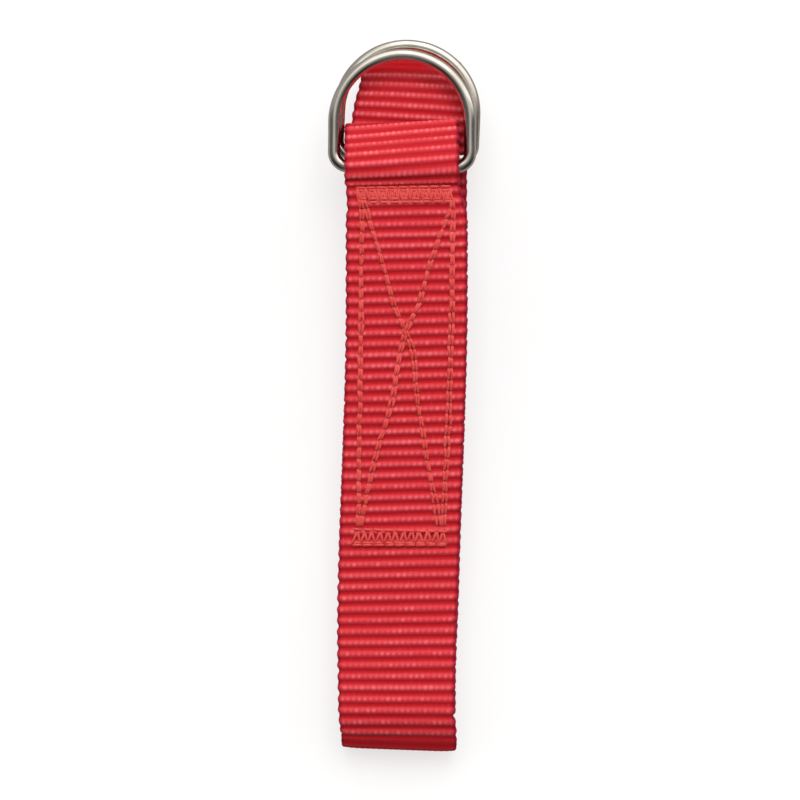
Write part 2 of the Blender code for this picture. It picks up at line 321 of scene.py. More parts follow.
def half_turn(y, low_z, high_z, reach, rising, steps=90):
    """Half an ellipse in the side view: it bulges by reach (+Y or -Y) between two layers."""
    angle = np.linspace(-math.pi / 2, math.pi / 2, steps, endpoint=False)
    height = (high_z - low_z) / 2 * np.sin(angle) * (1 if rising else -1)
    return np.stack([y + reach * np.cos(angle), (low_z + high_z) / 2 + height], -1)


def leaning_turn(start, tip, end, side):
    """From one layer round a tip on the given side (+1 is +Y) back to another layer."""
    climb = (0.0, math.copysign(1.0, end[1] - start[1]))
    there = curve_between(start, (side, 0.0), tip, climb)
    return np.concatenate([there, curve_between(tip, climb, end, (-side, 0.0))])


def front_height(y):
    """Centreline height of the front layer over the sewn part."""
    return SEAM_LOW[1] + SEAM_SLOPE * (y - SEAM_LOW[0])


def strap_runs():
    """The whole centreline as named runs of (y, z) points, from sewn-back end to free end."""
    front_bar = joint_place("front_ring_swing")
    rear_bar = joint_place("rear_ring_swing")
    along = (1.0, SEAM_SLOPE)
    back_along = (-1.0, -SEAM_SLOPE)
    bar_room = WIRE / 2 + BAR_ROOM + WEB_THICK / 2
    foot_under = (SEAM_TOP[0], SEAM_TOP[1] - LAYER_PITCH)
    sewn_end = (SEWN_END_Y, front_height(SEWN_END_Y) - LAYER_PITCH)
    over_bar = (front_bar.y - OVER_BAR_BACK, front_bar.z + bar_room)
    under_bar = (rear_bar.y, rear_bar.z - bar_room + UNDER_BAR_LIFT)
    inner_back = BACK_Z + LAYER_PITCH
    inner_front = inner_back + LAYER_PITCH
    outer_front = inner_front + LAYER_PITCH
    left, right = (-1.0, 0.0), (1.0, 0.0)
    tail_end = (TAIL_END_Y, inner_front)
    outer_settled = (ROLL_SETTLED_Y, outer_front)
    inner_settled = (ROLL_SETTLED_Y, inner_front)
    return [
        ("sewn_back", straight(sewn_end, foot_under)),
        ("dip", curve_between(foot_under, (1.0, -0.6), under_bar, right)),
        ("under_bars", curve_between(under_bar, right, LOOP_CHIN, (1.0, 0.4))),
        ("chin", curve_between(LOOP_CHIN, (1.0, 0.4), LOOP_CREST, (0.0, 1.0))),
        ("loop_crest", curve_between(LOOP_CREST, (0.0, 1.0), LOOP_SHOULDER, (-1.0, 0.6))),
        ("shoulder", curve_between(LOOP_SHOULDER, (-1.0, 0.6), over_bar, left)),
        ("over_bar", curve_between(over_bar, left, SEAM_TOP, back_along)),
        ("front", straight(SEAM_TOP, SEAM_LOW)),
        ("front_low", curve_between(SEAM_LOW, back_along, FOLD_TOP, left)),
        ("lower_fold", leaning_turn(FOLD_TOP, FOLD_TIP, FOLD_FOOT, -1)),
        ("stub", straight(FOLD_FOOT, (TAIL_START_Y, BACK_Z))),
        ("back", straight((TAIL_START_Y, BACK_Z), OUTER_TURN_FOOT)),
        ("outer_turn", leaning_turn(OUTER_TURN_FOOT, OUTER_TURN_TIP, OUTER_TURN_TOP, 1)),
        ("outer_settling", curve_between(OUTER_TURN_TOP, left, outer_settled, left)),
        ("outer_front", straight(outer_settled, (ROLL_LOW_Y, outer_front))),
        ("low_turn", half_turn(ROLL_LOW_Y, inner_back, outer_front, -LOW_TURN_REACH, False)),
        ("inner_back", straight((ROLL_LOW_Y, inner_back), INNER_TURN_FOOT)),
        ("inner_turn", leaning_turn(INNER_TURN_FOOT, INNER_TURN_TIP, INNER_TURN_TOP, 1)),
        ("inner_settling", curve_between(INNER_TURN_TOP, left, inner_settled, left)),
        ("inner_front", straight(inner_settled, tail_end)),
        ("end", np.array([tail_end])),
    ]


STEP = 0.1 * MM
SOFTEN = 8  # the spread of the smoothing, in steps


def even_line(points):
    """The points spaced evenly along their line, and each one's length from the start."""
    gaps = np.linalg.norm(np.diff(points, axis=0), axis=1)
    length = np.concatenate([[0.0], np.cumsum(gaps)])
    s = np.arange(0.0, length[-1], STEP)
    return np.stack([np.interp(s, length, points[:, i]) for i in (0, 1)], -1), s


def softened(points):
    """Webbing rounds off any kink: a moving average along the line, with its ends kept."""
    reach = 3 * SOFTEN
    weights = np.exp(-0.5 * (np.arange(-reach, reach + 1) / SOFTEN) ** 2)
    weights /= weights.sum()
    before = points[0] + (points[0] - points[1]) * np.arange(reach, 0, -1)[:, None]
    after = points[-1] + (points[-1] - points[-2]) * np.arange(1, reach + 1)[:, None]
    padded = np.concatenate([before, points, after])
    return np.stack([np.convolve(padded[:, i], weights, "valid") for i in (0, 1)], -1)


runs = strap_runs()
marks = {}
travelled = 0.0
previous = None
for run_name, run in runs:
    joined = run if previous is None else np.concatenate([previous[-1:], run])
    start_gap = 0.0 if previous is None else float(np.linalg.norm(run[0] - previous[-1]))
    marks[run_name] = travelled + start_gap
    travelled += float(np.linalg.norm(np.diff(joined, axis=0), axis=1).sum())
    previous = run

line, _ = even_line(np.concatenate([run for _, run in runs]))
line, line_s = even_line(softened(line))
way = np.gradient(line, axis=0)
way /= np.linalg.norm(way, axis=1)[:, None]
outward = np.stack([way[:, 1], -way[:, 0]], -1)
TOTAL = line_s[-1]


def on_line(s):
    """Centreline place and outward direction at lengths s, straight on past both ends."""
    inside = np.clip(s, 0.0, TOTAL)
    past = (s - inside)[..., None]
    place = np.stack([np.interp(inside, line_s, line[:, i]) for i in (0, 1)], -1)
    normal = np.stack([np.interp(inside, line_s, outward[:, i]) for i in (0, 1)], -1)
    normal /= np.linalg.norm(normal, axis=-1, keepdims=True)
    direction = np.stack([-normal[..., 1], normal[..., 0]], -1)
    return place + past * direction, normal


# ---------------------------------------------------------- how the webbing lies sideways


def lie(y, track):
    """Value at y of one of the sideways tracks, in metres."""
    value, up, down = track
    for size, start, end in up:
        value = value + size * smooth_step(y, start * MM, end * MM)
    for size, start, end in down:
        value = value + size * smooth_step(-y, start * MM, end * MM)
    return value * MM


def sideways(s, y):
    """Middle and half width of the webbing at lengths s, where its side view is at y."""
    in_roll = smooth_step(s, marks["back"] - 4.0 * MM, marks["back"] + 20.0 * MM)
    middle = lie(y, FRONT_MIDDLE) * (1 - in_roll) + lie(y, TAIL_MIDDLE) * in_roll
    half = lie(y, FRONT_HALF) * (1 - in_roll) + lie(y, TAIL_HALF) * in_roll
    return middle, half


def rib_lean(s):
    """How far along the webbing a rib runs for each metre across it."""
    turn_top = (marks["outer_turn"] + marks["outer_settling"]) / 2
    knots = [
        (0.0, -0.016),
        (marks["dip"], -0.020),
        (marks["shoulder"], -0.042),
        (marks["front"] + 8.0 * MM, -0.024),
        (marks["front_low"], -0.020),
        (marks["front_low"] + 20.0 * MM, -0.010),
        (marks["lower_fold"], 0.004),
        (marks["back"] + 30.0 * MM, 0.0),
        (turn_top, 0.040),
        (marks["outer_settling"] + 5.0 * MM, 0.056),
        (marks["outer_front"] + 20.0 * MM, 0.010),
        (TOTAL, 0.0),
    ]
    return np.interp(s, [k[0] for k in knots], [k[1] for k in knots])


def bowed(s, y, across):
    """Draws in the corners of the upper crest and the lower fold, and sets both folds askew."""
    corner = np.abs(across)
    y = y - CREST_BOW * corner**2.6 * smooth_step(y, *CREST_SPAN)
    low = smooth_step(-y, *FOLD_SPAN)
    y = y + (FOLD_BOW * corner**8 - FOLD_TILT * across) * low
    loop = smooth_step(s, marks["dip"], marks["chin"])
    loop *= 1 - smooth_step(s, marks["shoulder"], marks["front"])
    return y + LOOP_TILT * across * loop


# ------------------------------------------------------------------- ribs, beads and edges


def rib_count():
    """Number of ribs from the start up to each point of the centreline."""
    sewn = smooth_step(line_s, marks["front"] - 6.0 * MM, marks["front"] + 2.0 * MM)
    sewn *= 1 - smooth_step(line_s, marks["front_low"] - 4.0 * MM, marks["front_low"] + 4.0 * MM)
    sewn_back = 1 - smooth_step(line_s, marks["dip"] - 2.0 * MM, marks["dip"] + 2.0 * MM)
    down = smooth_step(line_s, marks["front"], marks["front_low"])
    pitch_sewn = PITCH_SEWN_TOP + (PITCH_SEWN_LOW - PITCH_SEWN_TOP) * down
    pitch = PITCH_LOOSE + (pitch_sewn - PITCH_LOOSE) * np.maximum(sewn, sewn_back)
    loop = (line_s > marks["loop_crest"]) & (line_s < marks["front"])
    turn_top = (marks["outer_turn"] + marks["outer_settling"]) / 2
    back = (line_s > marks["stub"]) & (line_s < turn_top)
    crest = (line_s >= turn_top) & (line_s < marks["outer_settling"] + 12.0 * MM)
    pitch = np.select([loop, back, crest], [PITCH_LOOP, PITCH_BACK, PITCH_CREST], pitch)
    count = np.cumsum(STEP / pitch)
    return count + RIBS_BEFORE_FRONT - np.interp(marks["front"], line_s, count)


counted = rib_count()
RIBS = int(counted[-1]) + 2
random = np.random.default_rng(RIB_SEED)
groove_wave = random.uniform(-1.0, 1.0, (RIBS + 2, 3))
groove_turn = random.uniform(0.0, 2 * math.pi, (RIBS + 2, 2))
BEADS = BEADS_ACROSS + 2 * BEADS_SPARE + 1
bead_size = random.uniform(0.80, 1.06, (RIBS + 2, BEADS))
bead_shine = random.uniform(0.0, 1.0, (RIBS + 2, BEADS))
rib_size = random.uniform(0.94, 1.04, RIBS + 2)
rib_shine = random.uniform(0.0, 1.0, RIBS + 2)
notch_size = random.uniform(0.7, 1.2, (RIBS + 2, 2))


def groove_shift(number, across):
    """Small wander of groove `number` along the webbing, for places across from -1 to 1."""
    wave, turn = groove_wave[number], groove_turn[number]
    long_wave = GROOVE_LONG[0] * wave[:, 1:2] * np.sin(GROOVE_LONG[1] * across + turn[:, :1])
    short_wave = GROOVE_SHORT[0] * wave[:, 2:3] * np.sin(GROOVE_SHORT[1] * across + turn[:, 1:2])
    return GROOVE_LEVEL * wave[:, :1] + long_wave + short_wave


def rib_rows(first, last, fractions):
    """Places of the rows of points, counted in ribs, from groove first to groove last."""
    whole = np.arange(first, last)
    rows = (whole[:, None] + np.array(fractions)[None, :]).ravel()
    return np.concatenate([rows, [float(last)]])


# Rows of points from one groove to the next, as shares of the way
FINE_ROWS = (0.0, 0.12, 0.23, 0.34, 0.45, 0.55, 0.66, 0.77, 0.88)
COARSE_ROWS = (0.0, 0.17, 0.34, 0.5, 0.66, 0.83)
EDGE_ANGLES = np.radians([60.0, 30.0, 0.0, -30.0, -60.0])


def section(columns_out, columns_in):
    """Round the webbing's section: across (-1..1 of the flat face), edge angle and face.

    The points run over the outer face, round the +X edge, back over the inner face and
    round the -X edge. face is 1 on the outer face, -1 on the inner one, 0 at an edge.
    """
    over = np.linspace(-1.0, 1.0, columns_out)
    back = np.linspace(1.0, -1.0, columns_in)
    edge = np.ones(len(EDGE_ANGLES))
    across = np.concatenate([over, edge, back, -edge])
    quarter = math.pi / 2
    angle = np.concatenate([0 * over + quarter, EDGE_ANGLES, 0 * back - quarter, -EDGE_ANGLES])
    face = np.concatenate([over * 0 + 1, edge * 0, back * 0 - 1, edge * 0])
    return across, angle, face


def turned_away(y):
    """1 where the face has rolled out of sight at the upper crest or the lower fold."""
    return np.maximum(smooth_step(y, *CREST_TURNS), smooth_step(-y, *FOLD_TURNS))


def beads(number, across):
    """Roundness (0..1) of the beads at places across each rib, and their own size and the strength of
    their painted highlight.
    """
    place = across * 0.5 * BEADS_ACROSS + 0.5 * (number % 2)[:, None]
    which = np.round(place).astype(int) + BEADS_ACROSS // 2 + BEADS_SPARE
    which = np.clip(which, 0, BEADS - 1)
    bead = (0.5 + 0.5 * np.cos(2 * math.pi * place)) ** 0.7
    return bead, bead_size[number[:, None], which], bead_shine[number[:, None], which]


def edge_reach(rows, number, across, rib):
    """How far the edge stands out beside the flat face, less in a groove, and how deep the painted
    shade on it is.
    """
    odd = (np.round(rows).astype(int) % 2)[:, None]
    side = (across > 0).astype(int)
    depth = np.where(across > 0, 0.16 + 0.34 * odd, 0.20 + 0.14 * odd) * MM
    notch = notch_size[number[:, None], side] * (1 - rib) * depth
    in_groove = np.where(across > 0, 0.25 + 0.55 * odd, 0.90) * (1 - rib)
    dark = np.where(across > 0, 0.66, 0.45) + 0.34 * in_groove
    return SELVEDGE - notch, dark


def webbing(name, first, last, columns_out, columns_in, fractions, finish, cut_start, cut_end):
    """The stretch of strip from groove first to groove last, as one closed mesh."""
    coarse_to = min(max(groove_at(marks["under_bars"]), first), last)
    rows = np.concatenate([
        rib_rows(first, coarse_to, COARSE_ROWS)[:-1],
        rib_rows(coarse_to, last, fractions),
    ])
    number = np.minimum(np.floor(rows + 1e-9).astype(int), last - 1)
    part = rows - number
    s_row = np.interp(rows, counted, line_s)[:, None]
    across, angle, face = section(columns_out, columns_in)
    across = across[None, :]
    swing = np.abs(2 * part - 1)[:, None]
    rib = (1 - smooth_step(swing, 0.10, 0.92)) * rib_size[number][:, None]
    crest = 1 - smooth_step(swing, 0.0, 0.62)

    bead, own_size, own_shine = beads(number, across)

    shift = groove_shift(number, across) * (1 - part)[:, None]
    shift = shift + groove_shift(number + 1, across) * part[:, None]
    flare = np.sign(part - 0.5)[:, None] * swing * (1 - swing**8) * (bead - 0.5) * BEAD_FLARE
    _, half = sideways(s_row, on_line(s_row)[0][..., 0])
    s = s_row + across * half * rib_lean(s_row) + shift + flare
    place, normal = on_line(s)
    middle, half = sideways(s, place[..., 0])
    turned = turned_away(place[..., 0] + normal[..., 0] * RIB_TOP)
    rib = rib * (1 - TURNED_FLATTENS * turned)

    is_face = np.abs(face)[None, :]
    plump = 1 - BEAD_DEPTH * (1 - bead * own_size) * (is_face * (np.abs(across) < EDGE_POINT))
    rise = GROOVE_TOP + (RIB_TOP - GROOVE_TOP) * rib * plump
    flat_half = half - SELVEDGE
    edge_out, edge_shade = edge_reach(rows, number, across, rib)
    out = edge_out * np.clip(np.cos(angle), 0.0, 1.0)[None, :] ** 0.75 * (1 - is_face)
    lift = np.sign(np.sin(angle)) * np.abs(np.sin(angle)) ** 0.8
    rise = rise * lift[None, :]

    x = middle + flat_half * across + np.sign(across) * out
    y = bowed(s, place[..., 0], across * flat_half / half) + normal[..., 0] * rise
    z = place[..., 1] + normal[..., 1] * rise
    points = np.stack([x, y, z], -1)
    ones = np.ones_like(points[..., 0])
    # painted highlight: its strength along the rib crest, stronger on random beads, weaker between
    # beads and where the face turns away
    spark = 0.34 + 0.26 * rib_shine[number][:, None]
    spark = spark + 0.40 * bead * own_shine**2 - 0.22 * (1 - bead)
    shine = crest * np.clip(spark, 0.0, 1.0) * is_face * (1 - TURNED_DULLS * turned)
    # painted shade on the rounded edges, its depth given by edge_reach
    border = smooth_step(np.abs(x - middle), half - 1.0 * MM, half - 0.40 * MM)
    facts = {
        "rib_height": rib * ones,
        "bead_shine": shine * ones,
        "selvedge_shade": border * edge_shade * ones,
        "turned_away": turned * ones,
        "across_mm": (x - middle) / MM,
        "along_mm": s / MM * ones,
        "cut_end": cut_ends(s, cut_start, cut_end) * ones,
    }
    return skin(name, points[None], finish, **{k: v[None] for k, v in facts.items()})


def cut_ends(s, cut_start, cut_end):
    """1 on the melted border of a cut end, falling to 0 within a millimetre or so."""
    near_start = 1 - smooth_step(s, 0.6 * MM, 1.6 * MM) if cut_start else 0.0
    near_end = smooth_step(s, TOTAL - 1.8 * MM, TOTAL - 0.8 * MM) if cut_end else 0.0
    return near_start + near_end


# --------------------------------------------------------------------------- materials


def new_material(name):
    made = bpy.data.materials.new(name)
    made.use_nodes = True
    return made, made.node_tree, made.node_tree.nodes["Principled BSDF"]


def add(tree, kind, inputs=None, **settings):
    """A node with its settings and input values; a socket given as a value is linked."""
    node = tree.nodes.new(kind)
    for key, value in settings.items():
        setattr(node, key, value)
    for key, value in (inputs or {}).items():
        if isinstance(value, bpy.types.NodeSocket):
            tree.links.new(value, node.inputs[key])
        else:
            node.inputs[key].default_value = value
    return node


def fact(tree, name):
    return add(tree, "ShaderNodeAttribute", attribute_name=name).outputs["Fac"]


def math_node(tree, operation, first, second=0.0):
    return add(tree, "ShaderNodeMath", {0: first, 1: second}, operation=operation).outputs[0]


def remap(tree, value, low, high, to_low=0.0, to_high=1.0):
    inputs = {"Value": value, "From Min": low, "From Max": high, "To Min": to_low, "To Max": to_high}
    node = add(tree, "ShaderNodeMapRange", inputs, interpolation_type="SMOOTHSTEP")
    return node.outputs["Result"]


def mix(tree, share, first, second):
    """Colour between first and second; the mix node's colours are its sockets 6 and 7."""
    node = add(tree, "ShaderNodeMix", data_type="RGBA", blend_type="MIX")
    for number, value in ((0, share), (6, first), (7, second)):
        socket = node.inputs[number]
        if isinstance(value, bpy.types.NodeSocket):
            tree.links.new(value, socket)
        elif isinstance(value, tuple):
            socket.default_value = (*value, 1.0)
        else:
            socket.default_value = value
    return node.outputs[2]


def noise(tree, place, scale, detail=3.0):
    inputs = {"Vector": place, "Scale": scale, "Detail": detail}
    return add(tree, "ShaderNodeTexNoise", inputs).outputs["Fac"]


def webbing_material():
    made, tree, shader = new_material("ribbed_webbing")
    rib = fact(tree, "rib_height")
    shine = fact(tree, "bead_shine")
    selvedge_shade = fact(tree, "selvedge_shade")
    turned = fact(tree, "turned_away")
    melted = fact(tree, "cut_end")
    across = math_node(tree, "MULTIPLY", fact(tree, "across_mm"), 9.0)
    strand_place = {"X": across, "Y": fact(tree, "along_mm")}
    strands = add(tree, "ShaderNodeCombineXYZ", strand_place).outputs[0]
    place = add(tree, "ShaderNodeNewGeometry").outputs["Position"]
    cloudy = noise(tree, place, 90.0, 2.0)
    filaments = noise(tree, strands, 1.6, 4.0)
    speckle = noise(tree, strands, 0.45, 2.0)

    # painted shade: the red darkens from the rib's top down into the groove
    on_rib = remap(tree, rib, 0.06, 0.80)
    colour = mix(tree, on_rib, GROOVE_SHADE_RED, RIB_RED)
    # painted highlight along the rib crests
    bright = math_node(tree, "MULTIPLY", remap(tree, shine, 0.12, 0.72), 0.90)
    colour = mix(tree, bright, colour, LIT_RED)
    tone = remap(tree, cloudy, 0.3, 0.7, 0.0, 0.22)
    colour = mix(tree, tone, colour, CLOUD_RED)
    fibre_tone = remap(tree, filaments, 0.30, 0.75, 0.0, 0.30)
    colour = mix(tree, fibre_tone, colour, FIBRE_RED)
    spots = remap(tree, speckle, 0.62, 0.80, 0.0, 0.25)
    colour = mix(tree, spots, colour, SPOT_RED)
    # painted shade where the face has turned away at the crest and the fold
    colour = mix(tree, math_node(tree, "MULTIPLY", turned, 0.60), colour, TURNED_SHADE_RED)
    # painted shade along the edges
    colour = mix(tree, math_node(tree, "MULTIPLY", selvedge_shade, 0.92), colour, SELVEDGE_SHADE_RED)
    colour = mix(tree, math_node(tree, "MULTIPLY", melted, 0.8), colour, MELTED_RED)
    tree.links.new(colour, shader.inputs["Base Color"])
    roughness = remap(tree, filaments, 0.2, 0.8, 0.46, 0.68)
    tree.links.new(roughness, shader.inputs["Roughness"])
    dull = math_node(tree, "MAXIMUM", turned, selvedge_shade)
    tree.links.new(remap(tree, dull, 0.1, 0.8, 0.18, 0.02), shader.inputs["Specular IOR Level"])
    shader.inputs["Sheen Weight"].default_value = 0.03
    shader.inputs["Sheen Roughness"].default_value = 0.4
    shader.inputs["Sheen Tint"].default_value = SHEEN_PINK
    bump = add(tree, "ShaderNodeBump", {"Strength": 0.55, "Distance": 0.06 * MM, "Height": filaments})
    tree.links.new(bump.outputs["Normal"], shader.inputs["Normal"])
    return made


def thread_material():
    made, tree, shader = new_material("bonded_thread")
    twist = fact(tree, "ply")
    place = add(tree, "ShaderNodeNewGeometry").outputs["Position"]
    cloudy = noise(tree, place, 260.0, 3.0)
    # painted shade and painted highlight following the twist of the plies
    colour = mix(tree, remap(tree, twist, 0.2, 0.8), PLY_SHADED, PLY_LIT)
    colour = mix(tree, remap(tree, cloudy, 0.35, 0.75, 0.0, 0.4), colour, THREAD_PALE)
    tree.links.new(colour, shader.inputs["Base Color"])
    tree.links.new(remap(tree, cloudy, 0.2, 0.8, 0.32, 0.55), shader.inputs["Roughness"])
    shader.inputs["Specular IOR Level"].default_value = 0.5
    shader.inputs["Sheen Weight"].default_value = 0.15
    bump = add(tree, "ShaderNodeBump", {"Strength": 0.4, "Distance": 0.04 * MM, "Height": twist})
    tree.links.new(bump.outputs["Normal"], shader.inputs["Normal"])
    return made


def plated_steel():
    """Bright plating over drawn wire: soft cloudiness, fine scratches and a few dull spots."""
    made, tree, shader = new_material("plated_steel")
    place = add(tree, "ShaderNodeNewGeometry").outputs["Position"]
    round_wire = math_node(tree, "MULTIPLY", fact(tree, "round_wire"), 26.0)
    along_wire = math_node(tree, "MULTIPLY", fact(tree, "along_wire"), 0.35)
    drawn = add(tree, "ShaderNodeCombineXYZ", {"X": round_wire, "Y": along_wire}).outputs[0]
    lines = noise(tree, drawn, 1.0, 4.0)
    cloudy = noise(tree, place, 160.0, 3.0)
    scuffs = noise(tree, place, 900.0, 2.0)
    colour = mix(tree, remap(tree, cloudy, 0.3, 0.7), STEEL_LIGHT, STEEL_CLOUDED)
    colour = mix(tree, remap(tree, scuffs, 0.62, 0.75, 0.0, 0.35), colour, STEEL_SCUFFED)
    tree.links.new(colour, shader.inputs["Base Color"])
    scuffed = remap(tree, scuffs, 0.6, 0.8, 0.0, 0.15)
    roughness = math_node(tree, "ADD", remap(tree, cloudy, 0.3, 0.75, 0.10, 0.24), scuffed)
    tree.links.new(roughness, shader.inputs["Roughness"])
    shader.inputs["Metallic"].default_value = 1.0
    bump = add(tree, "ShaderNodeBump", {"Strength": 0.25, "Distance": 0.02 * MM, "Height": lines})
    tree.links.new(bump.outputs["Normal"], shader.inputs["Normal"])
    return made


# ------------------------------------------------------------------------------ the rings


def ring_outline():
    """Wire centreline of a D-ring in its own plane, its bar along X through the origin."""
    side = (RING_WIDTH - WIRE) / 2
    bow_y = RING_HEIGHT - WIRE - side
    corner_x = side - RING_CORNER

    def arc(x, y, radius, first, last, steps):
        angle = np.linspace(first, last, steps)
        return np.stack([x + radius * np.cos(angle), y + radius * np.sin(angle)], -1)

    quarter = math.pi / 2
    return np.concatenate([
        arc(corner_x, RING_CORNER, RING_CORNER, -quarter, 0.0, 30),
        arc(0.0, bow_y, side, 0.0, 2 * quarter, 160),
        arc(-corner_x, RING_CORNER, RING_CORNER, 2 * quarter, 3 * quarter, 30),
    ])


def d_ring(name, joint, finish, seed):
    """A bent and welded ring of wire, with its weld on the bar inside the loop."""
    corners = ring_outline()
    corners = np.concatenate([corners, corners[:1]])
    length = np.concatenate([[0.0], np.cumsum(np.linalg.norm(np.diff(corners, axis=0), axis=1))])
    steps = int(length[-1] / WIRE_STEP)
    along = np.arange(steps) * length[-1] / steps
    x = np.interp(along, length, corners[:, 0])
    y = np.interp(along, length, corners[:, 1])
    centre = np.stack([x, y], -1)
    ahead = np.roll(centre, -1, 0) - np.roll(centre, 1, 0)
    ahead /= np.linalg.norm(ahead, axis=1)[:, None]
    aside = np.stack([ahead[:, 1], -ahead[:, 0]], -1)
    angle = np.arange(WIRE_SIDES) * 2 * math.pi / WIRE_SIDES
    draw = np.random.default_rng(seed)
    round_ring = 2 * math.pi * along / length[-1]
    uneven = sum(WIRE_UNEVEN * np.sin(round_ring * k + draw.uniform(0, 6.3)) for k in (3, 5, 9, 14))
    on_bar = (np.abs(y) < 0.2 * MM) * np.exp(-0.5 * (x / WELD_REACH) ** 2)
    radius = (WIRE / 2 + uneven + WELD * on_bar)[:, None] * np.ones(WIRE_SIDES)
    points = np.zeros((steps, WIRE_SIDES, 3))
    points[..., 0] = x[:, None] + aside[:, :1] * radius * np.cos(angle)
    points[..., 1] = y[:, None] + aside[:, 1:] * radius * np.cos(angle)
    points[..., 2] = radius * np.sin(angle)
    axis = joint_axis(joint)
    turn = math.atan2(axis.y, axis.x)
    droop = Matrix.Rotation(turn, 4, "Z") @ Matrix.Rotation(RING_DROOP, 4, "X")
    place = np.array(Matrix.Translation(joint_place(joint)) @ droop)
    points = points @ place[:3, :3].T + place[:3, 3]
    facts = {
        "along_wire": along[:, None] / MM * np.ones(WIRE_SIDES),
        "round_wire": np.cos(angle) * np.ones((steps, 1)),
    }
    return skin(name, points[None], finish, closed=True, **{k: v[None] for k, v in facts.items()})


# ----------------------------------------------------------------------------- the sewing


def stitches(name, ends, front, finish):
    """Thread laid from point to point of one face; ends is an array (stitch, 2, xy)."""
    ends = np.asarray(ends, float)
    t = np.linspace(0.0, 1.0, THREAD_RINGS)
    flat = ends[:, :1] * (1 - t)[None, :, None] + ends[:, 1:] * t[None, :, None]
    arch = np.sin(math.pi * t) ** 0.4
    sign = 1.0 if front else -1.0
    up = np.array([0.0, -SEAM_SLOPE, 1.0]) / math.hypot(1.0, SEAM_SLOPE) * sign
    rise = RIB_TOP - 0.02 * MM - 0.60 * MM * (1 - arch)
    x = flat[..., 0] + lie(flat[..., 1], FRONT_MIDDLE)
    z = front_height(flat[..., 1]) - (0.0 if front else LAYER_PITCH)
    centre = np.stack([x, flat[..., 1], z], -1) + rise[None, :, None] * up
    ahead = np.gradient(centre, axis=1)
    ahead /= np.linalg.norm(ahead, axis=-1, keepdims=True)
    aside = np.cross(up, ahead)
    aside /= np.linalg.norm(aside, axis=-1, keepdims=True)
    above = np.cross(ahead, aside)
    angle = np.arange(THREAD_SIDES) * 2 * math.pi / THREAD_SIDES
    length = np.linalg.norm(ends[:, 1] - ends[:, 0], axis=1)
    twist = 2 * math.pi * (t[None, :] * length[:, None]) / PLY_TURN
    lobes = np.cos(3 * (angle[None, None, :] - twist[..., None] / 3))
    end_taper = (0.55 + 0.45 * np.sin(math.pi * t) ** 0.35)[None, :, None]
    radius = (THREAD * (1 + 0.10 * lobes) * end_taper)[..., None]
    ring = np.cos(angle)[None, None, :, None] * aside[:, :, None, :]
    ring = ring + np.sin(angle)[None, None, :, None] * above[:, :, None, :] * 0.9
    return skin(name, centre[:, :, None, :] + radius * ring, finish, ply=0.5 + 0.5 * lobes)


def sewn_along(points, draw, wander=HOLE_WANDER):
    """Stitch ends along a line of points, each one's needle hole a little off the line."""
    points = np.asarray(points, float)
    length = np.concatenate([[0.0], np.cumsum(np.linalg.norm(np.diff(points, axis=0), axis=1))])
    count = max(2, int(round(length[-1] / STITCH)))
    along = np.linspace(0.0, length[-1], count + 1)
    along[1:-1] += draw.normal(0.0, HOLE_WANDER, count - 1)
    holes = np.stack([np.interp(along, length, points[:, i]) for i in (0, 1)], -1)
    holes[:, 0] += draw.normal(0.0, wander, count + 1)
    return np.stack([holes[:-1], holes[1:]], 1)


def curve_through(points, count=15):
    """A smooth line through a few points, by Catmull-Rom pieces."""
    p = np.asarray(points, float)
    p = np.concatenate([2 * p[:1] - p[1:2], p, 2 * p[-1:] - p[-2:-1]])
    made = []
    for a, b, c, d in zip(p, p[1:], p[2:], p[3:]):
        t = np.linspace(0.0, 1.0, count, endpoint=False)[:, None]
        square, cube = 2 * a - 5 * b + 4 * c - d, 3 * b - a - 3 * c + d
        made.append(0.5 * (2 * b + (c - a) * t + square * t**2 + cube * t**3))
    return np.concatenate([*made, p[-2:-1]])


# The box's left and right sides and its two diagonals, which wander as sewn by hand: share of
# the box's length down from its top, and X in mm
BOX_SEAMS = (
    ((-0.03, -9.1), (0.5, -9.4), (1.0, -8.6)),
    ((-0.03, 9.6), (0.5, 9.3), (1.0, 9.0)),
    (
        (-0.03, -9.0), (0.17, -5.1), (0.32, -2.2), (0.45, 1.4), (0.60, 2.6), (0.80, 5.4),
        (1.0, 8.3),
    ),
    (
        (-0.03, 9.9), (0.17, 5.0), (0.30, 2.5), (0.42, -0.7), (0.60, -2.6), (0.80, -5.8),
        (1.0, -8.2),
    ),
)


def box_and_cross(front, draw):
    """Two sides and two hand-guided diagonals, each sewn over twice."""
    lo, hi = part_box("box_cross_seam_front" if front else "box_cross_seam_back")
    low, top = lo.y + 0.3 * MM, hi.y - 0.3 * MM
    ends = []
    for seam in BOX_SEAMS:
        for apart in (-TWICE_APART, TWICE_APART):
            bend = draw.normal(0.0, 0.10, len(seam))
            places = [
                ((x + b) * MM + apart, top - share * (top - low))
                for (share, x), b in zip(seam, bend)
            ]
            ends.append(sewn_along(curve_through(places), draw))
    return np.concatenate(ends)


def tack(node, strokes, rows, draw):
    """Zigzag across one end of the box, held by rows sewn straight across."""
    lo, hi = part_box(node)
    reach = (hi.x - lo.x) / 2 + 0.15 * MM
    low, top = lo.y + 0.25 * MM, hi.y - 0.25 * MM
    x = np.linspace(-reach, reach, strokes + 1) + draw.normal(0.0, 0.10 * MM, strokes + 1)
    y = np.where(np.arange(strokes + 1) % 2, top, low) + draw.normal(0.0, 0.15 * MM, strokes + 1)
    zigzag = np.stack([x, y], -1)
    ends = [np.stack([zigzag[:-1], zigzag[1:]], 1)]
    for share in rows:
        level = low + (top - low) * share
        slant = draw.normal(0.0, 0.15 * MM)
        ends.append(sewn_along([(-reach, level - slant), (reach, level + slant)], draw, 0.05 * MM))
    return np.concatenate(ends)


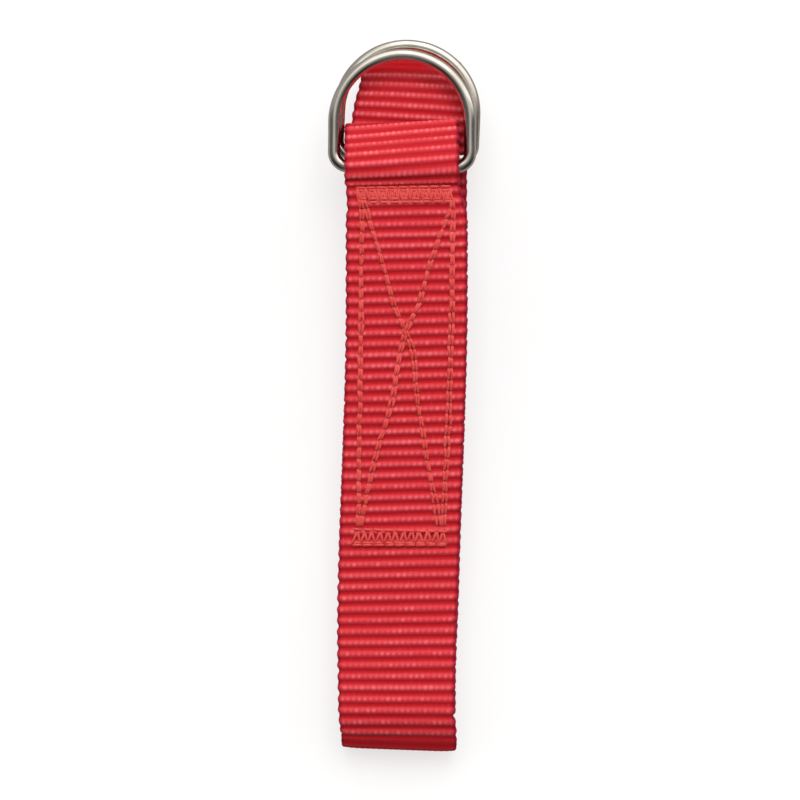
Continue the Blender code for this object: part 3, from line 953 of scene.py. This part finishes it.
# ------------------------------------------------------------------ floor, light, camera


def floor_material():
    made, tree, shader = new_material("pale_floor")
    place = add(tree, "ShaderNodeNewGeometry").outputs["Position"]
    tone = remap(tree, noise(tree, place, 6.0, 3.0), 0.3, 0.7)
    pale = mix(tree, tone, *FLOOR_TONES)
    mirrored = add(tree, "ShaderNodeLightPath").outputs["Is Glossy Ray"]
    tree.links.new(mix(tree, mirrored, pale, FLOOR_MIRRORED), shader.inputs["Base Color"])
    shader.inputs["Roughness"].default_value = 0.9
    shader.inputs["Emission Color"].default_value = (1.0, 1.0, 1.0, 1.0)
    glow = remap(tree, mirrored, 0.0, 1.0, FLOOR_GLOW, FLOOR_GLOW_MIRRORED)
    tree.links.new(glow, shader.inputs["Emission Strength"])
    return made


def add_floor():
    mesh = bpy.data.meshes.new("floor")
    angle = np.linspace(0.0, 2 * math.pi, FLOOR_SIDES, endpoint=False)
    rim = [(FLOOR_RADIUS * math.cos(a), FLOOR_RADIUS * math.sin(a), -FLOOR_DROP) for a in angle]
    mesh.from_pydata(rim, [], [tuple(range(len(rim)))])
    mesh.materials.append(floor_material())
    floor = bpy.data.objects.new("floor", mesh)
    bpy.context.scene.collection.objects.link(floor)


def add_area_light(name, place, size, power):
    lamp = bpy.data.lights.new(name, "AREA")
    lamp.shape = "SQUARE"
    lamp.size = size
    lamp.energy = power
    made = bpy.data.objects.new(name, lamp)
    made.location = place
    made.rotation_euler = (-Vector(place)).to_track_quat("-Z", "Y").to_euler()
    made.visible_glossy = False
    bpy.context.scene.collection.objects.link(made)


def add_world():
    """Soft light, strongest from +Y; seen directly it is a plain pale backdrop.

    Mirrored in the plated wire it is darker towards +X, -X and -Y, as the rest of a room is
    round a light tent, and that draws the dark lines along the wire.
    """
    world = bpy.data.worlds.new("studio")
    bpy.context.scene.world = world
    world.use_nodes = True
    tree = world.node_tree
    tree.nodes.clear()
    direction = add(tree, "ShaderNodeTexCoord").outputs["Generated"]
    split = add(tree, "ShaderNodeSeparateXYZ", {"Vector": direction})
    aside = math_node(tree, "ABSOLUTE", split.outputs["X"])
    ahead = split.outputs["Y"]
    lit = remap(tree, ahead, -0.55, 0.45, SIDE_LIGHT, TOP_LIGHT)
    low_shade = remap(tree, aside, 0.06, 0.60, 1.0, 0.22)
    low_in_view = math_node(tree, "MULTIPLY", remap(tree, ahead, -0.40, 0.10, 0.14, 0.50), low_shade)
    high_shade = remap(tree, split.outputs["X"], -0.60, 0.15, 0.22, 1.0)
    high_in_view = math_node(tree, "MULTIPLY", remap(tree, ahead, 0.24, 0.50, 0.0, 1.30), high_shade)
    seen_in_wire = math_node(tree, "ADD", low_in_view, high_in_view)
    path = add(tree, "ShaderNodeLightPath")
    mirrored = path.outputs["Is Glossy Ray"]
    change = math_node(tree, "MULTIPLY", mirrored, math_node(tree, "SUBTRACT", seen_in_wire, lit))
    strength = math_node(tree, "ADD", lit, change)
    studio = add(tree, "ShaderNodeBackground", {"Color": STUDIO_WHITE, "Strength": strength})
    backdrop = add(tree, "ShaderNodeBackground", {"Color": BACKDROP, "Strength": 1.0})
    seen = path.outputs["Is Camera Ray"]
    chosen = add(tree, "ShaderNodeMixShader", {0: seen, 1: studio.outputs[0], 2: backdrop.outputs[0]})
    output = add(tree, "ShaderNodeOutputWorld")
    tree.links.new(chosen.outputs[0], output.inputs["Surface"])


def add_camera():
    data = bpy.data.cameras.new("camera")
    data.sensor_width = SENSOR_WIDTH
    data.lens = data.sensor_width * CAMERA_AWAY / VIEW_WIDTH
    data.clip_start = 0.01
    camera = bpy.data.objects.new("camera", data)
    camera.location = CAMERA_AIM + Vector((0.0, 0.0, CAMERA_AWAY))
    bpy.context.scene.collection.objects.link(camera)
    bpy.context.scene.camera = camera


# ---------------------------------------------------------------------------- the object


def groove_at(s):
    """Number of the groove nearest to length s."""
    return int(round(float(np.interp(s, line_s, counted))))


def dress_strap():
    finish = webbing_material()
    first, last = math.ceil(counted[0]), int(counted[-1])
    tail_start = groove_at(marks["back"])
    inner_start = groove_at(marks["low_turn"] + 3.0 * MM)
    sewn = webbing(
        "webbing_sewn", first, tail_start, SEEN_COLUMNS, SEWN_BACK_COLUMNS, FINE_ROWS,
        finish, cut_start=True, cut_end=False,
    )
    outer = webbing(
        "webbing_roll_outer", tail_start, inner_start, SEEN_COLUMNS, ROLL_BACK_COLUMNS, COARSE_ROWS,
        finish, cut_start=False, cut_end=False,
    )
    inner = webbing(
        "webbing_roll_inner", inner_start, last, INNER_COLUMNS, ROLL_BACK_COLUMNS, COARSE_ROWS,
        finish, cut_start=False, cut_end=True,
    )
    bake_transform(sewn)
    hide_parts("strap_front", "strap_ring_loop", "strap_sewn_end", "strap_lower_fold")
    for piece in (outer, inner):
        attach(piece, "rolled_tail")
        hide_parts("strap_rolled_tail")


def dress_seams():
    finish = thread_material()
    draw = np.random.default_rng(SEWING_SEED)
    for side in ("front", "back"):
        front = side == "front"
        rows = {
            "box_cross_seam": box_and_cross(front, draw),
            "upper_tack": tack(f"upper_tack_{side}", UPPER_STROKES, UPPER_ROWS, draw),
            "lower_tack": tack(f"lower_tack_{side}", LOWER_STROKES, LOWER_ROWS, draw),
        }
        for kind, ends in rows.items():
            piece = stitches(f"thread_{kind}_{side}", ends, front, finish)
            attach(piece, "sewn_strap")
            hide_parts(f"{kind}_{side}")


def dress_rings():
    finish = plated_steel()
    for side, seed in RING_SEEDS.items():
        ring = d_ring(f"plated_ring_{side}", f"{side}_ring_swing", finish, seed)
        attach(ring, f"{side}_ring")
        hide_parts(f"d_ring_{side}")


bpy.context.scene.view_settings.view_transform = "Standard"
add_camera()
dress_strap()
dress_seams()
dress_rings()
add_floor()
add_world()
add_area_light("key", KEY_PLACE, KEY_SIZE, KEY_POWER)
